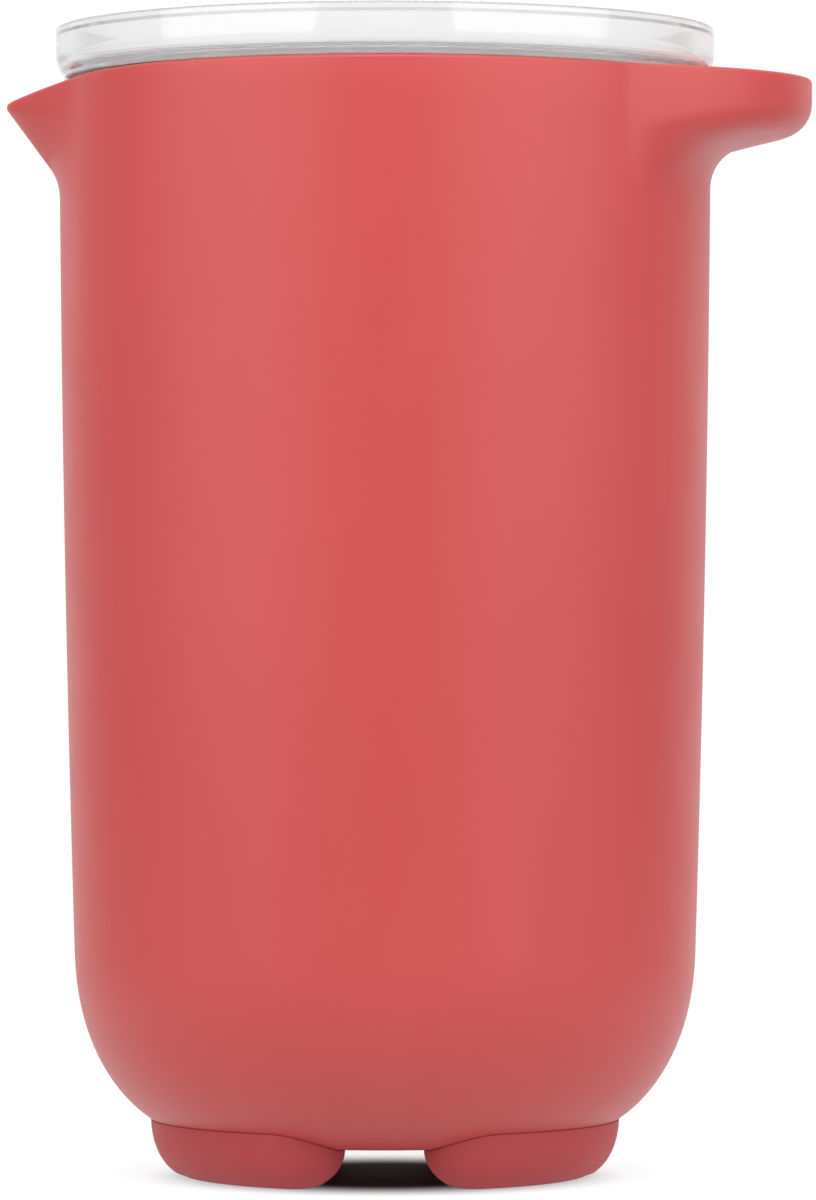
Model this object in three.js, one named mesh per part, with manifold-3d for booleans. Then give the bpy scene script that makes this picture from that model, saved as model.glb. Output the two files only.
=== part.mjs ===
// A tall mixing jug: a thin moulded shell with a pouring spout and a broad grip lobe on its rim,
// a clear push-in lid like a shallow dish, and two soft half-ring feet seated in grooves of the base.
// Millimetres, +Z up, standing on z = 0. The spout points along -X and the grip along +X.
import * as THREE from "three";
import { mergeVertices } from "three/addons/utils/BufferGeometryUtils.js";
import Module from "manifold-3d";

const wasm = await Module();
wasm.setup();

// The jug's shell
const jug = {
  rimHeight: 196.5,
  rimRadius: 58.6,
  wall: 2.6,
  // The side tapers by this much, with a slight outward bow, down to where the base begins to round
  taper: 2.8,
  bow: 0.5,
  heelHeight: 39.7,
  // The flat underside and the floor over it
  undersideHeight: 6.8,
  flatRadius: 32,
  floor: 3.6,
  floorInset: 2.5,
  rimEdge: 0.7,
  // Below this depth the shell is round, with neither spout nor grip
  bandDepth: 25,
};

// How strongly the heel's curve leaves the side and meets the flat underside
const heelSideShare = 0.67;
const heelBaseShare = 0.435;

const spout = {
  reach: 9.5,
  tipDrop: 4,
  noseDepth: 5.2,
  noseRadius: 0.8,
  rootDepth: 18.2,
  rootRadius: 6,
};
// Plan of the spout: it fades out over this angle each side, and its nose is softened over the other
const spoutHalfAngle = 21;
const spoutSoftAngle = 2.5;
const spoutPower = 2;

const grip = {
  reach: 18.2,
  tipDepth: 9.03,
  tipRadius: 6.8,
  rootDepth: 13.1,
  rootRadius: 8,
};
const gripHalfAngle = 44;
const gripPower = 1.5;

// A shallow dish for the thumb in the grip's flat top
const thumbRest = {
  length: 30,
  width: 10.5,
  depth: 2.4,
  fromLobeEnd: 9.4,
};
// The dish is the lower cap of an ellipsoid whose centre stands above the top by this share of the depth
const thumbRestRaiseShare = 1.2;

const lid = {
  // The side stands out beyond the jug's rim by this much, and rises above it
  overhang: 0.6,
  rise: 9,
  wall: 2.2,
  outerEdge: 1.3,
  innerEdge: 0.6,
  // The recessed floor inside the raised side
  floorHeight: 1.7,
  floor: 1.8,
  floorCorner: 1.8,
  // The side is upright down to this height over the rim, then turns inwards to the seat
  turnHeight: 5.5,
  turnRadius: 6,
  seatInset: 1.8,
  seatEdge: 0.3,
  seatGap: 0.3,
  // The skirt below, which pushes into the mouth
  skirt: 1.8,
  skirtClearance: 0.4,
  skirtDepth: 8,
  skirtTip: 0.7,
};

const foot = {
  outerRadius: 42.1,
  bandWidth: 18,
  channelWidth: 13.8,
  seamGap: 0.3,
  // The pad draws in by this much from its seam down to its sole
  soleInset: 5.2,
  soleEdge: 0.7,
  // A rib on top of the pad seats in a groove of the base
  ribWidth: 7.4,
  ribHeight: 1.2,
  grooveClearance: 0.3,
};
const footSideShares = [0, 0.3, 0.55, 0.75, 0.9];
// How much of a quarter round the foot's side follows
const footSideArcShare = 0.87;
const footLandShare = 0.7;

// Smoothness
const sectorCount = 72;
const gripSplits = 2;
const spoutSplits = 2;
const noseSplits = 4;
const noseHalfAngle = 10;
const arcSteps = 4;
const heelSteps = 9;
const sideSteps = 3;
const turnSteps = 4;
const lidSectorCount = 60;
const overrun = 2;

const turn = 2 * Math.PI;
const halfTurn = Math.PI;
const radians = THREE.MathUtils.degToRad;
const gripHalfTurn = radians(gripHalfAngle);
const spoutHalfTurn = radians(spoutHalfAngle);
const spoutSoftTurn = radians(spoutSoftAngle);
const weld = 1e-4;

// Angle from a direction, between minus and plus half a turn
function angleFrom(direction, angle) {
  return Math.atan2(Math.sin(angle - direction), Math.cos(angle - direction));
}

// How far the spout stands out at an angle, as a share of its reach
function spoutShare(angle) {
  const away = Math.abs(angleFrom(halfTurn, angle));
  const softened = Math.hypot(away, spoutSoftTurn) - spoutSoftTurn;
  return Math.pow(Math.max(0, 1 - softened / spoutHalfTurn), spoutPower);
}

function gripShare(angle) {
  const away = angleFrom(0, angle) / gripHalfTurn;
  return Math.pow(Math.max(0, 1 - away * away), gripPower);
}

// 0 on the grip's side of the jug and 1 on the spout's, turning smoothly over the plain stretch between
function spoutSide(angle) {
  const away = Math.abs(angleFrom(0, angle));
  return THREE.MathUtils.smoothstep(away, gripHalfTurn, halfTurn - spoutHalfTurn);
}

// A path through corners [x, y, radius], each rounded by an arc of a few steps
function roundedPath(corners, steps = arcSteps) {
  const place = ([x, y]) => new THREE.Vector2(x, y);
  const points = [place(corners[0])];
  for (let i = 1; i < corners.length - 1; i++) {
    const corner = place(corners[i]);
    const radius = corners[i][2];
    const back = place(corners[i - 1]).sub(corner).normalize();
    const ahead = place(corners[i + 1]).sub(corner).normalize();
    const half = Math.acos(THREE.MathUtils.clamp(back.dot(ahead), -1, 1)) / 2;
    const middle = back.clone().add(ahead).normalize();
    const centre = corner.clone().addScaledVector(middle, radius / Math.sin(half));
    const start = corner.clone().addScaledVector(back, radius / Math.tan(half)).sub(centre);
    const end = corner.clone().addScaledVector(ahead, radius / Math.tan(half)).sub(centre);
    const sweep = angleFrom(start.angle(), end.angle());
    for (let k = 0; k <= steps; k++) {
      const swung = start.clone().rotateAround(new THREE.Vector2(), (sweep * k) / steps);
      points.push(swung.add(centre));
    }
  }
  points.push(place(corners.at(-1)));
  return points;
}

// Outer radius of the round side at a depth below the rim
const heelDepth = jug.rimHeight - jug.heelHeight;
const heelRadius = jug.rimRadius - jug.taper;
function sideRadius(depth) {
  const t = depth / heelDepth;
  return jug.rimRadius - jug.taper * t + 4 * jug.bow * t * (1 - t);
}

// The heel: from the side's lower end, in the side's own direction, round to a flat disc
function heelCurve(inset, discRadius, discHeight) {
  const slope = (jug.taper + 4 * jug.bow) / heelDepth;
  const top = new THREE.Vector2(heelRadius - inset, jug.heelHeight);
  const disc = new THREE.Vector2(discRadius, discHeight);
  const fall = heelSideShare * (top.y - disc.y);
  const run = heelBaseShare * (top.x - disc.x);
  return new THREE.CubicBezierCurve(
    top,
    new THREE.Vector2(top.x - slope * fall, top.y - fall),
    new THREE.Vector2(disc.x + run, disc.y),
    disc,
  );
}
const outerHeel = heelCurve(0, jug.flatRadius, jug.undersideHeight);
const innerHeel = heelCurve(
  jug.wall, jug.flatRadius - jug.floorInset, jug.undersideHeight + jug.floor,
);

// Height of the base's outer face at a radius
function baseHeight(radius) {
  if (radius <= jug.flatRadius) return jug.undersideHeight;
  let low = 0;
  let high = 1;
  for (let i = 0; i < 40; i++) {
    const middle = (low + high) / 2;
    if (outerHeel.getPoint(middle).x > radius) low = middle;
    else high = middle;
  }
  return outerHeel.getPoint(low).y;
}

// Directions of the jug's rings: even ones for the round part, with more of them in spout and grip
function evenAngles() {
  return Array.from({ length: sectorCount }, (_, i) => (turn * i) / sectorCount);
}

function rimAngles() {
  const angles = [];
  for (let i = 0; i < sectorCount; i++) {
    const middle = (turn * (i + 1 / 2)) / sectorCount;
    const fromSpout = Math.abs(angleFrom(halfTurn, middle));
    let splits = 1;
    if (Math.abs(angleFrom(0, middle)) < gripHalfTurn) splits = gripSplits;
    if (fromSpout < spoutHalfTurn + spoutSoftTurn) splits = spoutSplits;
    if (fromSpout < radians(noseHalfAngle)) splits = noseSplits;
    for (let j = 0; j < splits; j++) angles.push((turn * (i + j / splits)) / sectorCount);
  }
  return angles;
}

// Sections of the shell's outside in spout and grip, as [distance out, depth below the rim]
const spoutSection = roundedPath([
  [spout.reach, spout.tipDrop + jug.rimEdge, 0],
  [spout.reach, spout.noseDepth, spout.noseRadius],
  [0, spout.rootDepth, spout.rootRadius],
  [0, jug.bandDepth, 0],
]);
const gripSection = roundedPath([
  [grip.reach, jug.rimEdge, 0],
  [grip.reach, grip.tipDepth, grip.tipRadius],
  [0, grip.rootDepth, grip.rootRadius],
  [0, jug.bandDepth, 0],
]);

// The pouring trough inside: a floor one wall above the spout's underside, run out to the lip
const spoutSlope = (spout.rootDepth - spout.noseDepth) / spout.reach;
const troughRootDepth =
  spout.rootDepth + spoutSlope * jug.wall - jug.wall * Math.hypot(1, spoutSlope);
const troughOut = (depth) => (troughRootDepth - depth) / spoutSlope;
const lipDepth = spout.tipDrop + jug.rimEdge;
const troughSection = roundedPath([
  [troughOut(spout.noseDepth), spout.noseDepth, 0],
  [0, troughRootDepth, spout.rootRadius + jug.wall],
  [0, jug.bandDepth, 0],
]);

const rimDrop = (angle) => spout.tipDrop * spoutShare(angle);

// The meridian above the band at one angle: up the outside, over the rim and down the inside
function rimMeridian(angle) {
  const inSpout = spoutShare(angle);
  const inGrip = gripShare(angle);
  const side = spoutSide(angle);
  const top = jug.rimHeight - rimDrop(angle);
  const points = [];
  for (let i = gripSection.length - 1; i > 0; i--) {
    const depth = THREE.MathUtils.lerp(gripSection[i].y, spoutSection[i].y, side);
    const out = inGrip * gripSection[i].x + inSpout * spoutSection[i].x;
    points.push([sideRadius(depth) + out, jug.rimHeight - depth]);
  }
  const outer = sideRadius(rimDrop(angle)) + inGrip * grip.reach + inSpout * spout.reach;
  const inner = jug.rimRadius - jug.wall + inSpout * troughOut(lipDepth);
  const overEdge = roundedPath([
    [outer, top - jug.rimEdge - weld, 0],
    [outer, top, jug.rimEdge],
    [inner, top, jug.rimEdge],
    [inner, top - jug.rimEdge - weld, 0],
  ], 2);
  for (const point of overEdge.slice(1, -1)) points.push([point.x, point.y]);
  for (const { x, y } of troughSection) {
    points.push([sideRadius(y) - jug.wall + inSpout * x, jug.rimHeight - y]);
  }
  return points;
}

// Builds a skin from rings of points that climb one above the other along a closed-up path
class Skin {
  constructor() {
    this.positions = [];
    this.faces = [];
  }

  point(x, y, z) {
    this.positions.push(x, y, z);
    return this.positions.length / 3 - 1;
  }

  // One ring of the jug: a radius and a height at each angle
  ring(angles, at) {
    return angles.map((angle) => {
      const [radius, height] = at(angle);
      const index = this.point(radius * Math.cos(angle), radius * Math.sin(angle), height);
      return { index, angle };
    });
  }

  // Joins two rings whose points may differ in number, always stepping the one that lags behind
  bridge(from, to) {
    const angleOf = (ring, i) => (i < ring.length ? ring[i].angle : ring[i % ring.length].angle + turn);
    let i = 0;
    let j = 0;
    while (i < from.length || j < to.length) {
      const here = from[i % from.length].index;
      const there = to[j % to.length].index;
      const stepFrom = i < from.length && (j >= to.length || angleOf(from, i + 1) <= angleOf(to, j + 1) + weld);
      if (stepFrom) {
        i += 1;
        this.faces.push(here, from[i % from.length].index, there);
      } else {
        j += 1;
        this.faces.push(here, to[j % to.length].index, there);
      }
    }
  }

  // Closes a ring with a fan round a point on its axis, facing along the path that reaches the ring
  fan(ring, height, startsHere) {
    const centre = this.point(0, 0, height);
    ring.forEach(({ index }, i) => {
      const next = ring[(i + 1) % ring.length].index;
      if (startsHere) this.faces.push(centre, next, index);
      else this.faces.push(centre, index, next);
    });
  }

  geometry() {
    const geometry = new THREE.BufferGeometry();
    geometry.setAttribute("position", new THREE.Float32BufferAttribute(this.positions, 3));
    geometry.setIndex(this.faces);
    return geometry;
  }
}

function shellGeometry() {
  const skin = new Skin();
  const even = evenAngles();
  const fine = rimAngles();
  const lowerSpan = heelDepth - jug.bandDepth;
  const rings = [];
  for (const { x, y } of outerHeel.getPoints(heelSteps).reverse()) {
    rings.push(skin.ring(even, () => [x, y]));
  }
  for (let k = 1; k < sideSteps; k++) {
    const depth = heelDepth - (lowerSpan * k) / sideSteps;
    rings.push(skin.ring(even, () => [sideRadius(depth), jug.rimHeight - depth]));
  }
  const meridians = new Map(fine.map((angle) => [angle, rimMeridian(angle)]));
  for (let k = 0; k < meridians.get(fine[0]).length; k++) {
    rings.push(skin.ring(fine, (angle) => meridians.get(angle)[k]));
  }
  for (let k = sideSteps - 1; k > 0; k--) {
    const depth = heelDepth - (lowerSpan * k) / sideSteps;
    rings.push(skin.ring(even, () => [sideRadius(depth) - jug.wall, jug.rimHeight - depth]));
  }
  for (const { x, y } of innerHeel.getPoints(heelSteps)) {
    rings.push(skin.ring(even, () => [x, y]));
  }
  skin.fan(rings[0], jug.undersideHeight, true);
  for (let k = 1; k < rings.length; k++) skin.bridge(rings[k - 1], rings[k]);
  skin.fan(rings.at(-1), jug.undersideHeight + jug.floor, false);
  return skin.geometry();
}

// A closed mesh as a solid that can be joined and cut, and back
function solidOf(geometry) {
  const bare = geometry.clone();
  bare.deleteAttribute("normal");
  bare.deleteAttribute("uv");
  const merged = mergeVertices(bare, weld);
  return new wasm.Manifold(new wasm.Mesh({
    numProp: 3,
    vertProperties: merged.attributes.position.array,
    triVerts: new Uint32Array(merged.index.array),
  }));
}

function geometryOf(solid) {
  const mesh = solid.getMesh();
  const geometry = new THREE.BufferGeometry();
  geometry.setAttribute("position", new THREE.BufferAttribute(mesh.vertProperties, 3));
  geometry.setIndex(new THREE.BufferAttribute(mesh.triVerts, 1));
  geometry.computeVertexNormals();
  return geometry;
}

// The foot's band runs round the jug's axis between two round ends that leave the channel free
const bandHalf = foot.bandWidth / 2;
const bandRadius = foot.outerRadius - bandHalf;
const bandEnd = Math.PI / 2 - Math.asin((foot.channelWidth / 2 + bandHalf) / bandRadius);
const bandSteps = 16;
const bandEndSteps = 8;

// Plan outline of the band at a half width, anticlockwise, about the direction +X
function bandOutline(halfWidth) {
  const points = [];
  const push = (centreAngle, centreRadius, angle, radius) =>
    points.push(new THREE.Vector2(
      centreRadius * Math.cos(centreAngle) + radius * Math.cos(angle),
      centreRadius * Math.sin(centreAngle) + radius * Math.sin(angle),
    ));
  for (let i = 0; i <= bandSteps; i++) {
    push(0, 0, -bandEnd + (2 * bandEnd * i) / bandSteps, bandRadius + halfWidth);
  }
  for (let i = 1; i < bandEndSteps; i++) {
    push(bandEnd, bandRadius, bandEnd + (halfTurn * i) / bandEndSteps, halfWidth);
  }
  for (let i = 0; i <= bandSteps; i++) {
    push(0, 0, bandEnd - (2 * bandEnd * i) / bandSteps, bandRadius - halfWidth);
  }
  for (let i = 1; i < bandEndSteps; i++) {
    push(-bandEnd, bandRadius, halfTurn - bandEnd + (halfTurn * i) / bandEndSteps, halfWidth);
  }
  return points;
}

// How far the foot's side has drawn in at a share of the way down from its seam
function sideInset(share) {
  const fall = (amount) => 1 - Math.sqrt(1 - amount * amount);
  return (foot.soleInset * fall(footSideArcShare * share)) / fall(footSideArcShare);
}

const seamHeight = (point) => baseHeight(point.length()) - foot.seamGap;
const ribTop = jug.undersideHeight - foot.seamGap + foot.ribHeight;

function footGeometry() {
  const skin = new Skin();
  const layer = (halfWidth, heightAt) =>
    bandOutline(halfWidth).map((point) => skin.point(point.x, point.y, heightAt(point)));
  const sole = bandHalf - foot.soleInset - foot.soleEdge;
  const layers = [layer(sole, () => 0)];
  for (const share of [...footSideShares].reverse()) {
    const edge = share === footSideShares.at(-1) ? foot.soleEdge : 0;
    layers.push(layer(
      bandHalf - sideInset(share) - edge / 2,
      (point) => seamHeight(point) * (1 - share) - edge / 2,
    ));
  }
  layers.push(layer(bandHalf * footLandShare, seamHeight));
  layers.push(layer(foot.ribWidth / 2, seamHeight));
  layers.push(layer(foot.ribWidth / 2, () => ribTop));
  for (let k = 1; k < layers.length; k++) {
    layers[k].forEach((upper, i) => {
      const next = (i + 1) % layers[k].length;
      const lower = layers[k - 1];
      skin.faces.push(lower[i], lower[next], upper);
      skin.faces.push(lower[next], layers[k][next], upper);
    });
  }
  const cap = (halfWidth, indices, faceUp) => {
    for (const [a, b, c] of THREE.ShapeUtils.triangulateShape(bandOutline(halfWidth), [])) {
      if (faceUp) skin.faces.push(indices[a], indices[b], indices[c]);
      else skin.faces.push(indices[a], indices[c], indices[b]);
    }
  };
  cap(sole, layers[0], false);
  cap(foot.ribWidth / 2, layers.at(-1), true);
  return skin.geometry();
}

// The groove in the base that takes a foot's rib
function grooveGeometry() {
  const outline = bandOutline(foot.ribWidth / 2 + foot.grooveClearance);
  const depth = ribTop + foot.grooveClearance + overrun;
  const groove = new THREE.ExtrudeGeometry(new THREE.Shape(outline), { depth, bevelEnabled: false });
  return groove.translate(0, 0, -overrun);
}

// The thumb's dish: an ellipsoid that dips into the grip's top
function thumbRestGeometry() {
  const raise = thumbRestRaiseShare * thumbRest.depth;
  const high = raise + thumbRest.depth;
  const level = Math.sqrt(1 - (raise / high) ** 2);
  const dish = new THREE.SphereGeometry(1, 28, 18);
  dish.rotateX(Math.PI / 2);
  dish.scale(thumbRest.width / 2 / level, thumbRest.length / 2 / level, high);
  return dish.translate(
    jug.rimRadius + grip.reach - thumbRest.fromLobeEnd, 0, jug.rimHeight + raise,
  );
}

function bodyGeometry() {
  const shell = solidOf(shellGeometry());
  const groove = solidOf(grooveGeometry());
  const grooves = groove.add(groove.rotate([0, 0, 180]));
  return geometryOf(shell.subtract(grooves).subtract(solidOf(thumbRestGeometry())));
}

// The lid's section: a shallow dish whose side turns in to a seat on the rim, and a skirt in the mouth
function lidGeometry() {
  const top = jug.rimHeight + lid.rise;
  const floorTop = jug.rimHeight + lid.floorHeight;
  const floorUnder = floorTop - lid.floor;
  const turnZ = jug.rimHeight + lid.turnHeight;
  const seatZ = jug.rimHeight + lid.seatGap;
  const skirtZ = jug.rimHeight - lid.skirtDepth;
  const outerRadius = jug.rimRadius + lid.overhang;
  const innerRadius = outerRadius - lid.wall;
  const seatRadius = outerRadius - lid.seatInset;
  const skirtRadius = jug.rimRadius - jug.wall - lid.skirtClearance;
  const dish = roundedPath([
    [0, floorTop, 0],
    [innerRadius, floorTop, lid.floorCorner],
    [innerRadius, top, lid.innerEdge],
    [outerRadius, top, lid.outerEdge],
    [outerRadius, turnZ, 0],
  ], 2);
  const turnAngle = Math.acos(1 - lid.seatInset / lid.turnRadius);
  const turnCentre = new THREE.Vector2(outerRadius - lid.turnRadius, turnZ);
  const turnIn = Array.from({ length: turnSteps + 1 }, (_, k) => {
    const spoke = new THREE.Vector2(lid.turnRadius, 0);
    return spoke.rotateAround(new THREE.Vector2(), (-turnAngle * k) / turnSteps).add(turnCentre);
  });
  const below = roundedPath([
    [seatRadius, turnIn.at(-1).y, 0],
    [seatRadius, seatZ, lid.seatEdge],
    [skirtRadius, seatZ, lid.seatGap],
    [skirtRadius, skirtZ, lid.skirtTip],
    [skirtRadius - lid.skirt, skirtZ, lid.skirtTip],
    [skirtRadius - lid.skirt, floorUnder, lid.innerEdge],
    [0, floorUnder, 0],
  ], 2);
  const outline = [...dish.slice(0, -1), ...turnIn, ...below.slice(1)];
  const lathe = new THREE.LatheGeometry(outline.reverse(), lidSectorCount);
  return lathe.rotateX(Math.PI / 2);
}

const bodyPlastic = new THREE.MeshStandardMaterial({ color: 0xd65c5a, roughness: 0.45, metalness: 0 });
const footRubber = new THREE.MeshStandardMaterial({ color: 0xa94649, roughness: 0.75, metalness: 0 });
const clearPlastic = new THREE.MeshStandardMaterial({
  color: 0xf2f2f2, roughness: 0.05, metalness: 0, transparent: true, opacity: 0.35,
});

function namedMesh(name, geometry, material) {
  const mesh = new THREE.Mesh(geometry, material);
  mesh.name = name;
  return mesh;
}

// The jug's axis stands off the origin, so that the origin is the middle of the whole object's base
const jugOnOrigin = new THREE.Group();
jugOnOrigin.position.x = (spout.reach - grip.reach) / 2;

const rightFoot = namedMesh("foot_right", footGeometry(), footRubber);
const leftFoot = namedMesh("foot_left", footGeometry(), footRubber);
leftFoot.rotation.z = halfTurn;
jugOnOrigin.add(
  namedMesh("jug_body", bodyGeometry(), bodyPlastic),
  rightFoot,
  leftFoot,
  namedMesh("lid", lidGeometry(), clearPlastic),
);

const group = new THREE.Group();
group.add(jugOnOrigin);

export default group;
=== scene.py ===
import math

import bpy
import numpy as np
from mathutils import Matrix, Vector


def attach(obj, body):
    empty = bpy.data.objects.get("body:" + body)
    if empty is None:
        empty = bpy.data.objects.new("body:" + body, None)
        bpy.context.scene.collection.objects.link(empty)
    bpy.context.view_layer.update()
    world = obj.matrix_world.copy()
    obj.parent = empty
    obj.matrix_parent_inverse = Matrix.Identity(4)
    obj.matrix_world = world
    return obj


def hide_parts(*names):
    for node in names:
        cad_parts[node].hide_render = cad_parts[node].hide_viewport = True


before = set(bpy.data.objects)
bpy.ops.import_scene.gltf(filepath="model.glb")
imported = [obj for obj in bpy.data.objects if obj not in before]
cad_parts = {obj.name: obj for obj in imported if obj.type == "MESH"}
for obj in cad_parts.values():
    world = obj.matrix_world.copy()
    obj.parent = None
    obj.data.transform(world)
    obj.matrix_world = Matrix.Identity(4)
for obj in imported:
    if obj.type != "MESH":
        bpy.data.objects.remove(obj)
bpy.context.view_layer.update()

MM = 0.001
TURN = 2 * math.pi

# The jug's sizes, in millimetres about its own axis

RIM_HEIGHT, RIM_RADIUS, WALL, RIM_EDGE = 196.5, 58.6, 2.6, 0.7
HEEL_HEIGHT, HEEL_RADIUS, BOW = 39.7, 55.8, 0.5
UNDERSIDE, FLAT_RADIUS, FLOOR, FLOOR_FLAT_RADIUS = 6.8, 32.0, 3.6, 29.5
HEEL_SIDE_SHARE, HEEL_BASE_SHARE = 0.67, 0.435
HEEL_DEPTH = RIM_HEIGHT - HEEL_HEIGHT

# Spout and grip flare out of the shell's top band. Depths are below the rim's height, and the flanks are
# where a flare runs out into the side. Its blends fill a share of its slope, which never shrinks to nothing
BAND_DEPTH = 30.0
SPOUT = dict(reach=9.5, tip_drop=4.0, corner_depth=5.2, corner_radius=0.8, root_depth=18.2, root_radius=9.0,
             flank_corner_drop=0.0, flank_root_drop=0.0, flank_corner_blend=3.5, flank_root_blend=6.0)
SPOUT_HALF, SPOUT_SOFT, SPOUT_POWER = math.radians(21), math.radians(2.5), 2
GRIP = dict(reach=18.2, corner_depth=9.03, corner_radius=5.8, root_depth=13.1, root_radius=8.0,
            flank_corner_drop=1.2, flank_root_drop=8.0, flank_corner_blend=1.2, flank_root_blend=6.4)
GRIP_HALF, GRIP_POWER = math.radians(44), 1.5
FLANK_POWER, BLEND_ROOM_SHARE, LEAST_SHARE = 1.5, 0.9, 1e-4

# The rim's long dip towards the spout takes a share of the tip's drop
DIP_HALF, DIP_SHARE = math.radians(60), 0.4

# The thumb's dish is cut by an ellipsoid raised over the grip's top. Its lip is softened
THUMB = dict(length=30.0, width=10.5, depth=2.4, from_end=9.4, raise_share=1.2, lip=0.35, lip_reach=3)

# The lid's heights are over the rim, but the lip inside its edge starts at a drop below the lid's own top
LID = dict(overhang=0.6, rise=9.0, wall=2.2, top_edge=0.35, floor_height=1.7, floor=1.8, floor_edge=0.05,
           lip_drop=1.6, lip_rise=0.6, lip_step=0.2, lip_edge=0.25, toe=0.1, toe_edge=0.04,
           floor_corner=1.8, turn_height=4.4, turn_radius=5.6, seat_inset=1.5, seat_edge=0.3, seat_gap=0.12,
           skirt=1.8, skirt_clearance=0.4, skirt_depth=8.0, skirt_tip=0.7, skirt_edge=0.25, slit=0.03)

# A foot's top lies a fine seam under the rounded base, and its side draws in by the inset along an arc
FOOT = dict(outer=42.1, band=18.0, channel=13.8, seam=0.075, inset=5.2, sole_edge=0.7, arc_share=0.87)

# The jug's axis in the frame: the whole object's box is centred on the origin
AXIS_X = (SPOUT["reach"] - GRIP["reach"]) / 2


def smoothstep(value, low, high):
    t = np.clip((value - low) / (high - low), 0, 1)
    return t * t * (3 - 2 * t)


def angle_from(direction, angle):
    return math.atan2(math.sin(angle - direction), math.cos(angle - direction))


def spout_share(angle, half_width=SPOUT_HALF):
    """How much of the spout's reach there is at an angle, with a softened ridge."""
    away = abs(angle_from(math.pi, angle))
    softened = math.hypot(away, SPOUT_SOFT) - SPOUT_SOFT
    return max(0.0, 1 - softened / half_width) ** SPOUT_POWER


def rim_drop(angle):
    """How far the rim lies below its height: the spout's own drop and a longer dip towards it."""
    own = (1 - DIP_SHARE) * spout_share(angle)
    dip = DIP_SHARE * spout_share(angle, DIP_HALF)
    return SPOUT["tip_drop"] * (own + dip)


def grip_share(angle):
    """How much of the grip's reach there is at an angle."""
    away = angle_from(0, angle) / GRIP_HALF
    return max(0.0, 1 - away * away) ** GRIP_POWER


def rounded_path(corners, steps):
    """A path through corners (x, y, radius), each rounded by an arc of a few steps."""
    points = [np.array(corners[0][:2], float)]
    for before, (x, y, radius), after in zip(corners, corners[1:], corners[2:]):
        corner = np.array((x, y), float)
        back = np.array(before[:2]) - corner
        ahead = np.array(after[:2]) - corner
        back /= np.linalg.norm(back)
        ahead /= np.linalg.norm(ahead)
        half = math.acos(np.clip(back @ ahead, -1, 1)) / 2
        middle = (back + ahead) / np.linalg.norm(back + ahead)
        centre = corner + middle * radius / math.sin(half)
        start = corner + back * radius / math.tan(half) - centre
        end = corner + ahead * radius / math.tan(half) - centre
        sweep = angle_from(math.atan2(start[1], start[0]), math.atan2(end[1], end[0]))
        for k in range(steps + 1):
            c, s = math.cos(sweep * k / steps), math.sin(sweep * k / steps)
            points.append(centre + (c * start[0] - s * start[1], s * start[0] + c * start[1]))
    points.append(np.array(corners[-1][:2], float))
    return points


def side_radius(depth):
    """The plain side's radius at a depth below the rim: a taper with a slight bow."""
    t = depth / HEEL_DEPTH
    return RIM_RADIUS + (HEEL_RADIUS - RIM_RADIUS) * t + 4 * BOW * t * (1 - t)


def heel_points(inset, disc_radius, disc_height, steps):
    """The rounded heel, from the side down to the edge of a flat disc."""
    slope = (RIM_RADIUS - HEEL_RADIUS + 4 * BOW) / HEEL_DEPTH
    top = np.array((HEEL_RADIUS - inset, HEEL_HEIGHT))
    disc = np.array((disc_radius, disc_height))
    fall = HEEL_SIDE_SHARE * (top[1] - disc[1])
    run = HEEL_BASE_SHARE * (top[0] - disc[0])
    a = top + (-slope * fall, -fall)
    b = disc + (run, 0)
    t = np.linspace(0, 1, steps + 1)[:, None]
    return (1 - t) ** 3 * top + 3 * (1 - t) ** 2 * t * a + 3 * (1 - t) * t * t * b + t ** 3 * disc


HEEL_FINE = heel_points(0, FLAT_RADIUS, UNDERSIDE, steps=400)[::-1]


def base_height(radius):
    """The height of the jug's rounded base at a radius."""
    return float(np.interp(radius, HEEL_FINE[:, 0], HEEL_FINE[:, 1]))


def mesh_object(name, vertices, faces, material, body, replaced):
    """A smooth piece from points in millimetres about the jug's axis."""
    mesh = bpy.data.meshes.new(name)
    points = np.array(vertices, float)
    points[:, 0] += AXIS_X
    mesh.from_pydata((points * MM).tolist(), [], faces)
    mesh.validate()
    mesh.shade_smooth()
    piece = bpy.data.objects.new(name, mesh)
    bpy.context.scene.collection.objects.link(piece)
    piece.data.materials.append(material)
    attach(piece, body)
    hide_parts(replaced)


def ring_faces(first, second, count):
    """Quads between two rings of count points, given the index of each ring's first point."""
    return [(first + i, first + (i + 1) % count, second + (i + 1) % count, second + i) for i in range(count)]


def turned(rows, angles, start_pole=None, end_pole=None, looped=False):
    """Points and faces of a skin whose rows are (radius, height) at each angle.
    It is closed by poles on the axis, or by joining the last row to the first."""
    vertices = []
    for row in rows:
        for (radius, height), angle in zip(row, angles):
            vertices.append((radius * math.cos(angle), radius * math.sin(angle), height))
    count = len(angles)
    faces = []
    for k in range(len(rows) - 1):
        faces += ring_faces(k * count, (k + 1) * count, count)
    if start_pole is not None:
        vertices.append((0, 0, start_pole))
        faces += [(len(vertices) - 1, (i + 1) % count, i) for i in range(count)]
    if end_pole is not None:
        last = (len(rows) - 1) * count
        vertices.append((0, 0, end_pole))
        faces += [(len(vertices) - 1, last + i, last + (i + 1) % count) for i in range(count)]
    if looped:
        faces += ring_faces((len(rows) - 1) * count, 0, count)
    return vertices, faces


# The jug's body

ARC_STEPS, EDGE_STEPS, HEEL_STEPS, SIDE_STEPS = 12, 4, 30, 12
LAND_SHARES = [0.04, *np.linspace(0.1, 0.9, 21), 0.96]
UNDERSIDE_RINGS, FLOOR_RINGS = (8, 20, 28, 31), (28, 20, 8)

# Degrees to the next meridian in the spout's zone, in the grip's and elsewhere, and the zones' half widths
SPOUT_STEP, GRIP_STEP, PLAIN_STEP = 0.5, 1.0, 2.0
SPOUT_ZONE, GRIP_ZONE = 24, 46


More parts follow.
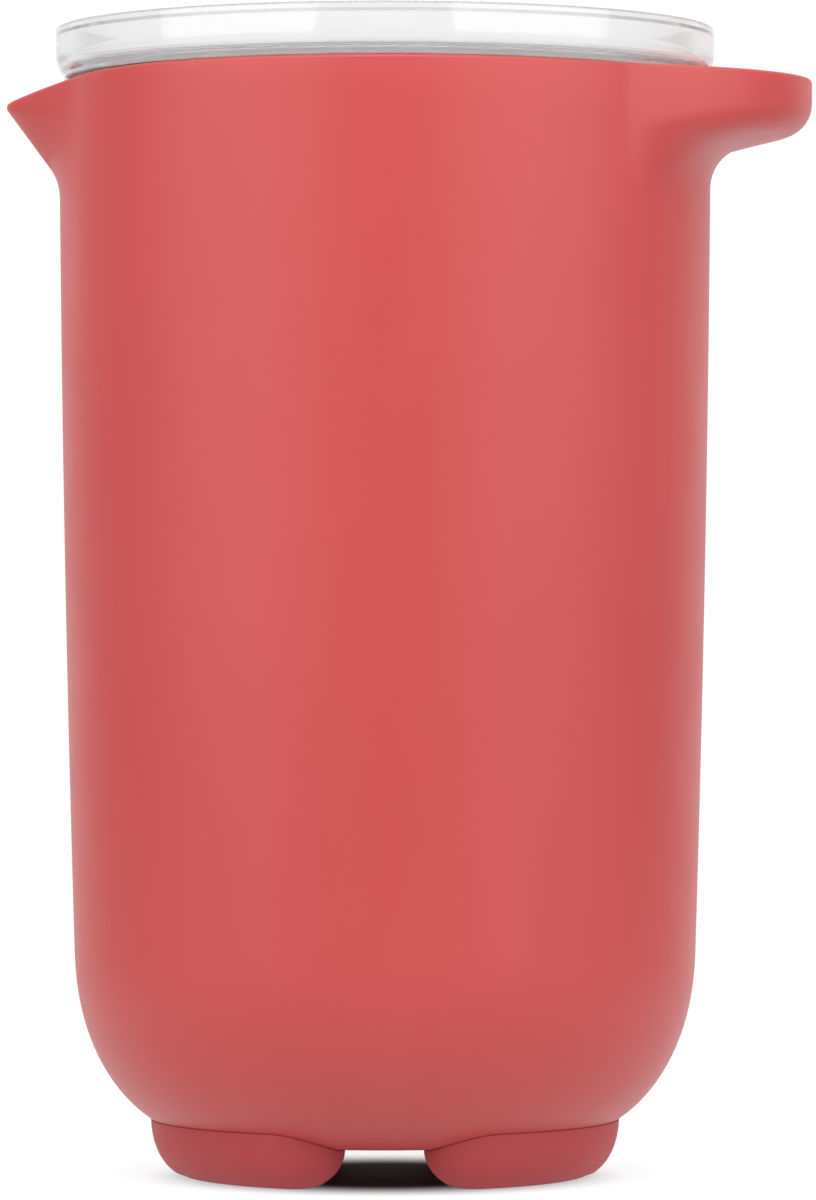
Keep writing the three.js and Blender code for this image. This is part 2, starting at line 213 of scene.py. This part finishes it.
def flare_section(flare, share):
    """The outside of spout or grip, as (distance out, depth), where it stands out by a share of its reach."""
    fade = 1 - share
    out = max(share, LEAST_SHARE) * flare["reach"]
    corner_depth = flare["corner_depth"] + flare["flank_corner_drop"] * fade
    root_depth = flare["root_depth"] + flare["flank_root_drop"] * fade ** FLANK_POWER
    fall = root_depth - corner_depth
    full = math.tan(math.atan2(flare["reach"], flare["root_depth"] - flare["corner_depth"]) / 2)
    corner_blend = share * flare["corner_radius"] * full + fade * flare["flank_corner_blend"]
    root_blend = share * flare["root_radius"] * full + fade * flare["flank_root_blend"]
    fit = min(1, BLEND_ROOM_SHARE * math.hypot(out, fall) / (corner_blend + root_blend))
    radius_share = fit / math.tan(math.atan2(out, fall) / 2)
    return rounded_path([
        (out, RIM_EDGE, 0),
        (out, corner_depth, corner_blend * radius_share),
        (0, root_depth, root_blend * radius_share),
        (0, BAND_DEPTH, 0),
    ], ARC_STEPS)


# The spout's trough runs a wall's thickness inside its outer slope

SPOUT_SLOPE = (SPOUT["root_depth"] - SPOUT["corner_depth"]) / SPOUT["reach"]
TROUGH_ROOT = SPOUT["root_depth"] + SPOUT_SLOPE * WALL - WALL * math.hypot(1, SPOUT_SLOPE)


def trough_out(depth):
    return (TROUGH_ROOT - depth) / SPOUT_SLOPE


TROUGH_SECTION = rounded_path([
    (trough_out(SPOUT["corner_depth"]), SPOUT["corner_depth"], 0),
    (0, TROUGH_ROOT, SPOUT["root_radius"] + WALL),
    (0, BAND_DEPTH, 0),
], ARC_STEPS)


def thumb_dip(x, y):
    """How deep the thumb's dish is at a place of the grip's top, with a softened lip."""
    raised = THUMB["raise_share"] * THUMB["depth"]
    high = raised + THUMB["depth"]
    level = math.sqrt(1 - (raised / high) ** 2)
    across = (x - (RIM_RADIUS + GRIP["reach"] - THUMB["from_end"])) / (THUMB["width"] / 2 / level)
    along = y / (THUMB["length"] / 2 / level)
    inside = max(0.0, 1 - across ** 2 - along ** 2)
    dip = high * math.sqrt(inside) - raised
    if dip <= -THUMB["lip_reach"] * THUMB["lip"]:
        return 0.0
    return (dip + math.hypot(dip, THUMB["lip"])) / 2


def rim_meridian(angle):
    """From the band up the outside, over the rim and down the inside, at one angle."""
    in_spout, in_grip = spout_share(angle), grip_share(angle)
    side = float(smoothstep(abs(angle_from(0, angle)), GRIP_HALF, math.pi - SPOUT_HALF))
    drop = rim_drop(angle)
    top = RIM_HEIGHT - drop
    points = []
    for grip, spout in list(zip(flare_section(GRIP, in_grip), flare_section(SPOUT, in_spout)))[:0:-1]:
        out, depth = grip + (spout - grip) * side
        points.append((side_radius(depth) + out, RIM_HEIGHT - depth))
    outer = side_radius(drop) + in_grip * GRIP["reach"] + in_spout * SPOUT["reach"]
    inner = RIM_RADIUS - WALL + in_spout * trough_out(SPOUT["tip_drop"] + RIM_EDGE)
    edge = rounded_path([
        (outer, top - 2 * RIM_EDGE, 0),
        (outer, top, RIM_EDGE),
        (inner, top, RIM_EDGE),
        (inner, top - 2 * RIM_EDGE, 0),
    ], EDGE_STEPS)
    points += [tuple(p) for p in edge[1:EDGE_STEPS + 2]]
    start, end = outer - RIM_EDGE, inner + RIM_EDGE
    for share in LAND_SHARES:
        radius = start + (end - start) * share
        dip = thumb_dip(radius * math.cos(angle), radius * math.sin(angle)) if in_grip > 0 else 0
        points.append((radius, top - dip))
    points += [tuple(p) for p in edge[EDGE_STEPS + 2:-1]]
    for out, depth in TROUGH_SECTION:
        points.append((side_radius(depth) - WALL + in_spout * out, RIM_HEIGHT - depth))
    return points


def body_angles():
    """Directions of the shell's meridians: dense in the spout and the grip."""
    angles, angle = [], 0.0
    while angle < 360:
        angles.append(math.radians(angle))
        if abs(angle - 180) < SPOUT_ZONE:
            angle += SPOUT_STEP
        elif min(angle, 360 - angle) < GRIP_ZONE:
            angle += GRIP_STEP
        else:
            angle += PLAIN_STEP
    return angles


def make_body(material):
    """The shell: underside, heel and side, the band with spout, grip and rim, and the inside to the floor."""
    angles = body_angles()

    def even(radius, height):
        return [(radius, height)] * len(angles)

    lower = HEEL_DEPTH - BAND_DEPTH
    depths = [HEEL_DEPTH - lower * k / SIDE_STEPS for k in range(1, SIDE_STEPS)]
    rows = [even(radius, UNDERSIDE) for radius in UNDERSIDE_RINGS]
    rows += [even(*p) for p in heel_points(0, FLAT_RADIUS, UNDERSIDE, HEEL_STEPS)[::-1]]
    rows += [even(side_radius(d), RIM_HEIGHT - d) for d in depths]
    rows += [list(row) for row in zip(*(rim_meridian(a) for a in angles))]
    rows += [even(side_radius(d) - WALL, RIM_HEIGHT - d) for d in depths[::-1]]
    rows += [even(*p) for p in heel_points(WALL, FLOOR_FLAT_RADIUS, UNDERSIDE + FLOOR, HEEL_STEPS)]
    rows += [even(radius, UNDERSIDE + FLOOR) for radius in FLOOR_RINGS]
    vertices, faces = turned(rows, angles, start_pole=UNDERSIDE, end_pole=UNDERSIDE + FLOOR)
    mesh_object("jug_shell", vertices, faces, material, "jug", "jug_body")


# The feet: each is a band bent round the jug's axis, and the channel between them runs from front to back

BAND_HALF = FOOT["band"] / 2
BAND_RADIUS = FOOT["outer"] - BAND_HALF
BAND_END = math.pi / 2 - math.asin((FOOT["channel"] / 2 + BAND_HALF) / BAND_RADIUS)
BAND_STEPS, CAP_STEPS = 72, 30

# A foot's layers: its sole's middle and rounded edge, shares of the way down its side, and of its top's width
SOLE_MIDDLE, SOLE_EDGE_STEPS, SOLE_EDGE_SHARE = 0.3, 4, 0.6
SIDE_SHARES = [0, 0.02, 0.06, 0.13, 0.21, 0.3, 0.39, 0.48, 0.57, 0.66, 0.74, 0.81, 0.87, 0.92]
TOP_SHARES = [0.985, 0.93, 0.8, 0.6, 0.35, 0.04]


def band_outline(half_width, facing):
    """Plan outline of a foot's band at a half width: round the jug's axis, with round ends."""
    points = []

    def put(centre_angle, centre_radius, angle, radius):
        points.append((
            centre_radius * math.cos(centre_angle + facing) + radius * math.cos(angle + facing),
            centre_radius * math.sin(centre_angle + facing) + radius * math.sin(angle + facing),
        ))

    for i in range(BAND_STEPS + 1):
        put(0, 0, -BAND_END + 2 * BAND_END * i / BAND_STEPS, BAND_RADIUS + half_width)
    for i in range(1, CAP_STEPS):
        put(BAND_END, BAND_RADIUS, BAND_END + math.pi * i / CAP_STEPS, half_width)
    for i in range(BAND_STEPS + 1):
        put(0, 0, BAND_END - 2 * BAND_END * i / BAND_STEPS, BAND_RADIUS - half_width)
    for i in range(1, CAP_STEPS):
        put(-BAND_END, BAND_RADIUS, math.pi - BAND_END + math.pi * i / CAP_STEPS, half_width)
    return points


def side_inset(share):
    """How far a foot's side has drawn in at a share of the way down, along an arc."""
    def fall(amount):
        return 1 - math.sqrt(1 - amount * amount)

    return FOOT["inset"] * fall(FOOT["arc_share"] * share) / fall(FOOT["arc_share"])


def make_foot(name, replaced, facing, material):
    """A soft pad whose top follows the base and whose sides draw in to a flat sole.
    Each layer is (half width, height over the ground, share of the seam's height)."""
    sole, edge = BAND_HALF - FOOT["inset"], FOOT["sole_edge"]
    layers = [(SOLE_MIDDLE, 0, 0), (sole - 2 * edge, 0, 0)]
    for k in range(SOLE_EDGE_STEPS + 1):
        turned_by = math.pi / 2 * k / SOLE_EDGE_STEPS * SOLE_EDGE_SHARE
        layers.append((sole - edge * (1 - math.sin(turned_by)), edge * (1 - math.cos(turned_by)), 0))
    layers += [(BAND_HALF - side_inset(share), 0, 1 - share) for share in SIDE_SHARES[::-1]]
    layers += [(BAND_HALF * share, 0, 1) for share in TOP_SHARES]
    vertices, faces = [], []
    for half_width, height, seam_share in layers:
        for x, y in band_outline(half_width, facing):
            seam = base_height(math.hypot(x, y)) - FOOT["seam"]
            vertices.append((x, y, height + seam * seam_share))
    count = len(vertices) // len(layers)
    for k in range(len(layers) - 1):
        faces += ring_faces(k * count, (k + 1) * count, count)
    faces.append(tuple(range(count))[::-1])
    faces.append(tuple(range(len(vertices) - count, len(vertices))))
    mesh_object(name, vertices, faces, material, "jug", replaced)


# The lid: a dish of three rings of unlike clarity, with fine slits between them

LID_TOP, LID_SEAT = RIM_HEIGHT + LID["rise"], RIM_HEIGHT + LID["seat_gap"]
LID_FLOOR = RIM_HEIGHT + LID["floor_height"]
LID_UNDER = LID_FLOOR - LID["floor"]
LID_OUTER = RIM_RADIUS + LID["overhang"]
LID_INNER = LID_OUTER - LID["wall"]
SKIRT_OUTER = RIM_RADIUS - WALL - LID["skirt_clearance"]
SKIRT_INNER = SKIRT_OUTER - LID["skirt"]
SKIRT_END = RIM_HEIGHT - LID["skirt_depth"]

LID_STEPS, LID_TURN_POINTS = 288, 13
LID_ANGLES = [TURN * i / LID_STEPS for i in range(LID_STEPS)]
LID_FLOOR_RINGS = (10, 24, 36, 46)


def lid_piece(name, outline, material, **closing):
    """A round piece of the lid, turned from its outline."""
    rows = [[tuple(p)] * LID_STEPS for p in outline[::-1]]
    vertices, faces = turned(rows, LID_ANGLES, **closing)
    mesh_object(name, vertices, faces, material, "lid", "lid")


def make_lid_side(material):
    """The clear side of the dish, which turns in to a seat on the rim, with a toe over the floor's edge."""
    turn_height = RIM_HEIGHT + LID["turn_height"]
    seat = LID_OUTER - LID["seat_inset"]
    middle = (LID_INNER + seat) / 2
    lip = LID_TOP - LID["lip_drop"]
    toe = LID_INNER - LID["floor_corner"] - LID["toe"]
    toe_under = LID_FLOOR + LID["slit"]
    outline = rounded_path([
        (middle, LID_SEAT, 0),
        (LID_INNER, LID_SEAT, LID["seat_edge"] / 2),
        (LID_INNER, toe_under, LID["toe_edge"]),
        (toe, toe_under, LID["toe_edge"]),
        (toe, toe_under + LID["toe"], LID["toe_edge"]),
        (LID_INNER, toe_under + LID["toe"], LID["floor_corner"]),
        (LID_INNER, lip, LID["lip_edge"]),
        (LID_INNER + LID["lip_step"], lip + LID["lip_rise"], LID["lip_edge"]),
        (LID_INNER + LID["lip_step"], LID_TOP, LID["top_edge"]),
        (LID_OUTER, LID_TOP, LID["top_edge"]),
        (LID_OUTER, turn_height, 0),
    ], steps=8)[:-1]
    turn_angle = math.acos(1 - LID["seat_inset"] / LID["turn_radius"])
    for angle in np.linspace(0, turn_angle, LID_TURN_POINTS):
        outline.append((
            LID_OUTER - LID["turn_radius"] * (1 - math.cos(angle)),
            turn_height - LID["turn_radius"] * math.sin(angle),
        ))
    outline += rounded_path([
        (*outline[-1], 0),
        (seat, LID_SEAT, LID["seat_edge"] / 2),
        (middle, LID_SEAT, 0),
    ], steps=6)[1:-1]
    lid_piece("clear_lid", outline, material, looped=True)


def make_lid_skirt(material):
    """The hazier ring under the side: the skirt in the jug's mouth and the edge of the dish's floor."""
    edge = LID_INNER - LID["slit"]
    middle = (SKIRT_INNER + edge) / 2
    outline = rounded_path([
        (middle, LID_FLOOR, 0),
        (edge, LID_FLOOR, LID["skirt_edge"]),
        (edge, LID_SEAT, LID["skirt_edge"]),
        (SKIRT_OUTER, LID_SEAT, LID["seat_edge"]),
        (SKIRT_OUTER, SKIRT_END, LID["skirt_tip"]),
        (SKIRT_INNER, SKIRT_END, LID["skirt_tip"]),
        (SKIRT_INNER, LID_FLOOR, LID["floor_edge"]),
        (middle, LID_FLOOR, 0),
    ], steps=6)[:-1]
    lid_piece("lid_skirt", outline, material, looped=True)


def make_lid_floor(material):
    """The clear floor of the dish."""
    edge = SKIRT_INNER - LID["slit"]
    outline = [(radius, LID_FLOOR) for radius in LID_FLOOR_RINGS]
    outline += rounded_path([
        (0, LID_FLOOR, 0),
        (edge, LID_FLOOR, LID["floor_edge"]),
        (edge, LID_UNDER, LID["floor_edge"]),
        (0, LID_UNDER, 0),
    ], steps=4)[1:-1]
    outline += [(radius, LID_UNDER) for radius in LID_FLOOR_RINGS[::-1]]
    lid_piece("lid_floor", outline, material, start_pole=LID_UNDER, end_pole=LID_FLOOR)


# Materials: a colour is three parts or a grey level

# The levels between which a noise texture does most of its changing
NOISE_LOW, NOISE_HIGH = 0.3, 0.7


def rgba(colour):
    red, green, blue = colour if isinstance(colour, tuple) else (colour, colour, colour)
    return (red, green, blue, 1)


def node_material(name):
    material = bpy.data.materials.new(name)
    material.use_nodes = True
    tree = material.node_tree
    return material, tree, tree.nodes["Principled BSDF"]


def noise(tree, scale, detail, roughness=0.5):
    """A noise level that changes over the object's own space."""
    coordinates = tree.nodes.new("ShaderNodeTexCoord")
    texture = tree.nodes.new("ShaderNodeTexNoise")
    texture.inputs["Scale"].default_value = scale
    texture.inputs["Detail"].default_value = detail
    texture.inputs["Roughness"].default_value = roughness
    tree.links.new(coordinates.outputs["Object"], texture.inputs["Vector"])
    return texture.outputs["Fac"]


def ramp(tree, factor, stops, interpolation="LINEAR"):
    """A colour that follows a factor through stops of (position, colour)."""
    node = tree.nodes.new("ShaderNodeValToRGB")
    node.color_ramp.interpolation = interpolation
    elements = node.color_ramp.elements
    for element, (position, colour) in zip(elements, (stops[0], stops[-1])):
        element.position = position
        element.color = rgba(colour)
    for position, colour in stops[1:-1]:
        elements.new(position).color = rgba(colour)
    tree.links.new(factor, node.inputs["Fac"])
    return node.outputs["Color"]


def drift(tree, socket, low, high, scale, detail):
    """Lets a socket drift between two colours over the surface."""
    level = noise(tree, scale, detail)
    tree.links.new(ramp(tree, level, [(NOISE_LOW, low), (NOISE_HIGH, high)]), socket)


def relief(tree, shader, strength, depth, **texture):
    """A noisy relief of the surface, its depth in metres."""
    node = tree.nodes.new("ShaderNodeBump")
    node.inputs["Strength"].default_value = strength
    node.inputs["Distance"].default_value = depth
    tree.links.new(noise(tree, **texture), node.inputs["Height"])
    tree.links.new(node.outputs["Normal"], shader.inputs["Normal"])


def calculate(tree, kind, operation, *values):
    """The outputs of a maths node that is fed by other nodes' outputs or by fixed values."""
    node = tree.nodes.new(kind)
    node.operation = operation
    for socket, value in zip(node.inputs, values):
        if isinstance(value, bpy.types.NodeSocket):
            tree.links.new(value, socket)
        else:
            socket.default_value = value
    return node.outputs


def jug_plastic():
    """Satin coral plastic: an even colour with a faint mottle, and a fine grain that softens the gloss."""
    material, tree, shader = node_material("jug_plastic")
    dark, light = (0.525, 0.0565, 0.0545), (0.545, 0.0605, 0.0585)
    drift(tree, shader.inputs["Base Color"], dark, light, scale=18, detail=3)
    drift(tree, shader.inputs["Roughness"], 0.40, 0.46, scale=60, detail=5)
    relief(tree, shader, strength=0.12, depth=0.00006, scale=3200, detail=2, roughness=0.6)
    shader.inputs["IOR"].default_value = 1.5
    return material


def foot_rubber():
    """Soft, duller and cooler red, with a fine tooth."""
    material, tree, shader = node_material("foot_rubber")
    dark, light = (0.40, 0.037, 0.040), (0.43, 0.042, 0.045)
    drift(tree, shader.inputs["Base Color"], dark, light, scale=40, detail=3)
    drift(tree, shader.inputs["Roughness"], 0.58, 0.68, scale=120, detail=4)
    relief(tree, shader, strength=0.3, depth=0.00008, scale=2600, detail=3, roughness=0.6)
    shader.inputs["IOR"].default_value = 1.5
    return material


def clear_plastic(name, colour, transmission, smooth, rough):
    """Clear plastic with barely uneven moulded faces, and as much haze as its transmission leaves."""
    material, tree, shader = node_material(name)
    shader.inputs["Base Color"].default_value = rgba(colour)
    shader.inputs["Transmission Weight"].default_value = transmission
    shader.inputs["IOR"].default_value = 1.45
    drift(tree, shader.inputs["Roughness"], smooth, rough, scale=90, detail=3)
    relief(tree, shader, strength=0.006, depth=0.0003, scale=45, detail=2)
    return material


# The studio, in metres

# The room's radiance by direction, from the camera's side at 0 to the white backdrop at 1
ROOM_STOPS = [(0.1, 0.5), (0.45, 0.42), (0.8, 0.42), (0.88, 1.04)]
# What the walls and the ceiling multiply it by, from the level at 0 to straight up at 1
ABOVE_STOPS = [(0.12, 1), (0.4, 0.65), (0.75, 2.0)]
# How far the radiance below takes its place, from the level at 0 to straight down at 1
BELOW_STOPS = [(0.3, 0), (0.7, 1)]
ROOM_BELOW = 0.9

# Two panels stand beside the camera and one hangs over the jug, all turned to one place. Powers are in watts
SOFTBOX_AZIMUTH = 52.5
SOFTBOX = dict(distance=1.3, height=0.65, width=1.61, tall=1.3, power=11.9)
OVERHEAD = dict(azimuth=0, distance=0.25, height=0.8, width=0.6, tall=0.6, power=2.8)
LIGHTS_LOOK_AT = (0, 0, 0.1)

# The floor is a pale table that glows evenly, as if lit from below, but for the jug's shadow, which is
# painted: glow and colour rise from start to end, measured from a place a little ahead of the jug's axis
FLOOR_RADIUS, FLOOR_SIDES = 0.32, 128
FLOOR_ROUGHNESS, FLOOR_SPECULAR, FLOOR_GLOW = 0.7, 0.025, 0.8
PAINTED_SHADOW_START, PAINTED_SHADOW_END, PAINTED_SHADOW_AHEAD = 0.0222, 0.044, 0.0042
# The colours in the painted shadow and beyond it, cooled against the red light that falls on them from the
# jug
PAINTED_SHADOW_COLOUR, FLOOR_PALE = (0.003, 0.008, 0.008), (0.2, 0.25, 0.25)


def make_floor():
    """The table: a disc that is seen, but throws no diffuse light back on the jug. The jug's shadow on it is
    painted into its glow and colour.
    """
    material, tree, shader = node_material("floor_white")
    shader.inputs["Roughness"].default_value = FLOOR_ROUGHNESS
    shader.inputs["Specular IOR Level"].default_value = FLOOR_SPECULAR
    shader.inputs["Emission Strength"].default_value = 1.0
    place = tree.nodes.new("ShaderNodeTexCoord").outputs["Object"]
    to_shadow = (-AXIS_X * MM, PAINTED_SHADOW_AHEAD, 0)
    from_shadow = calculate(tree, "ShaderNodeVectorMath", "ADD", place, to_shadow)["Vector"]
    away = calculate(tree, "ShaderNodeVectorMath", "LENGTH", from_shadow)["Value"]
    # Painted shadow: glow and colour are dark under the jug and rise to the pale floor around it
    glow = ramp(tree, away, [(PAINTED_SHADOW_START, 0), (PAINTED_SHADOW_END, FLOOR_GLOW)], "EASE")
    shade = ramp(tree, away, [(PAINTED_SHADOW_START, PAINTED_SHADOW_COLOUR), (PAINTED_SHADOW_END, FLOOR_PALE)])
    tree.links.new(glow, shader.inputs["Emission Color"])
    tree.links.new(shade, shader.inputs["Base Color"])
    angles = [TURN * i / FLOOR_SIDES for i in range(FLOOR_SIDES)]
    edge = [(FLOOR_RADIUS * math.cos(a), FLOOR_RADIUS * math.sin(a), 0) for a in angles]
    mesh = bpy.data.meshes.new("floor")
    mesh.from_pydata(edge, [], [tuple(range(FLOOR_SIDES))])
    mesh.materials.append(material)
    floor = bpy.data.objects.new("floor", mesh)
    bpy.context.scene.collection.objects.link(floor)
    floor.visible_diffuse = False


def softbox(name, azimuth, distance, height, width, tall, power):
    """A soft panel of light. Azimuth is in degrees, 0 at the camera and 90 at the right."""
    light = bpy.data.lights.new(name, "AREA")
    light.shape = "RECTANGLE"
    light.size, light.size_y = width, tall
    light.energy = power
    lamp = bpy.data.objects.new(name, light)
    a = math.radians(azimuth)
    lamp.location = (distance * math.sin(a), -distance * math.cos(a), height)
    lamp.rotation_euler = (Vector(LIGHTS_LOOK_AT) - lamp.location).to_track_quat("-Z", "Y").to_euler()
    bpy.context.scene.collection.objects.link(lamp)


def make_world():
    """A pale room: brightest behind the object, where the backdrop hangs, and softer at the camera's side."""
    world = bpy.data.worlds.new("studio")
    bpy.context.scene.world = world
    world.use_nodes = True
    tree = world.node_tree
    # A look's parts run from -1 to 1, and back is brought to 0 to 1
    look = tree.nodes.new("ShaderNodeSeparateXYZ")
    tree.links.new(tree.nodes.new("ShaderNodeTexCoord").outputs["Generated"], look.inputs["Vector"])
    back = calculate(tree, "ShaderNodeMath", "MULTIPLY_ADD", look.outputs["Y"], 0.5, 0.5)[0]
    down = calculate(tree, "ShaderNodeMath", "MULTIPLY", look.outputs["Z"], -1)[0]
    walls, above = ramp(tree, back, ROOM_STOPS), ramp(tree, look.outputs["Z"], ABOVE_STOPS)
    room = calculate(tree, "ShaderNodeVectorMath", "MULTIPLY", walls, above)["Vector"]
    blend = tree.nodes.new("ShaderNodeMix")
    blend.data_type = "RGBA"
    blend.inputs["B"].default_value = rgba(ROOM_BELOW)
    tree.links.new(ramp(tree, down, BELOW_STOPS), blend.inputs["Factor"])
    tree.links.new(room, blend.inputs["A"])
    tree.links.new(blend.outputs["Result"], tree.nodes["Background"].inputs["Color"])


def make_studio():
    make_world()
    for side in (-1, 1):
        softbox("softbox", azimuth=side * SOFTBOX_AZIMUTH, **SOFTBOX)
    softbox("overhead", **OVERHEAD)
    make_floor()
    bpy.context.scene.view_settings.view_transform = "Standard"


# The camera, level and square to the jug, as the photograph has it, in millimetres

CAMERA_DISTANCE, CAMERA_HEIGHT, AXIS_LEFT_OF_MIDDLE = 1152.0, 103.1, 4.12
SENSOR_WIDTH, FOCAL_LENGTH = 36, 192


def make_camera():
    data = bpy.data.cameras.new("camera")
    data.sensor_width = SENSOR_WIDTH
    data.lens = FOCAL_LENGTH
    camera = bpy.data.objects.new("camera", data)
    camera.location = Vector((AXIS_X + AXIS_LEFT_OF_MIDDLE, -CAMERA_DISTANCE, CAMERA_HEIGHT)) * MM
    camera.rotation_euler = (math.pi / 2, 0, 0)
    bpy.context.scene.collection.objects.link(camera)
    bpy.context.scene.camera = camera


make_camera()
make_studio()
rubber = foot_rubber()
make_body(jug_plastic())
make_foot("right_foot", "foot_right", 0, rubber)
make_foot("left_foot", "foot_left", math.pi, rubber)
make_lid_side(clear_plastic("clear_plastic", 0.90, transmission=0.83, smooth=0.045, rough=0.07))
make_lid_floor(clear_plastic("floor_plastic", 0.96, transmission=0.96, smooth=0.06, rough=0.09))
make_lid_skirt(clear_plastic("hazy_plastic", (0.98, 0.93, 0.96), transmission=0.38, smooth=0.30, rough=0.36))
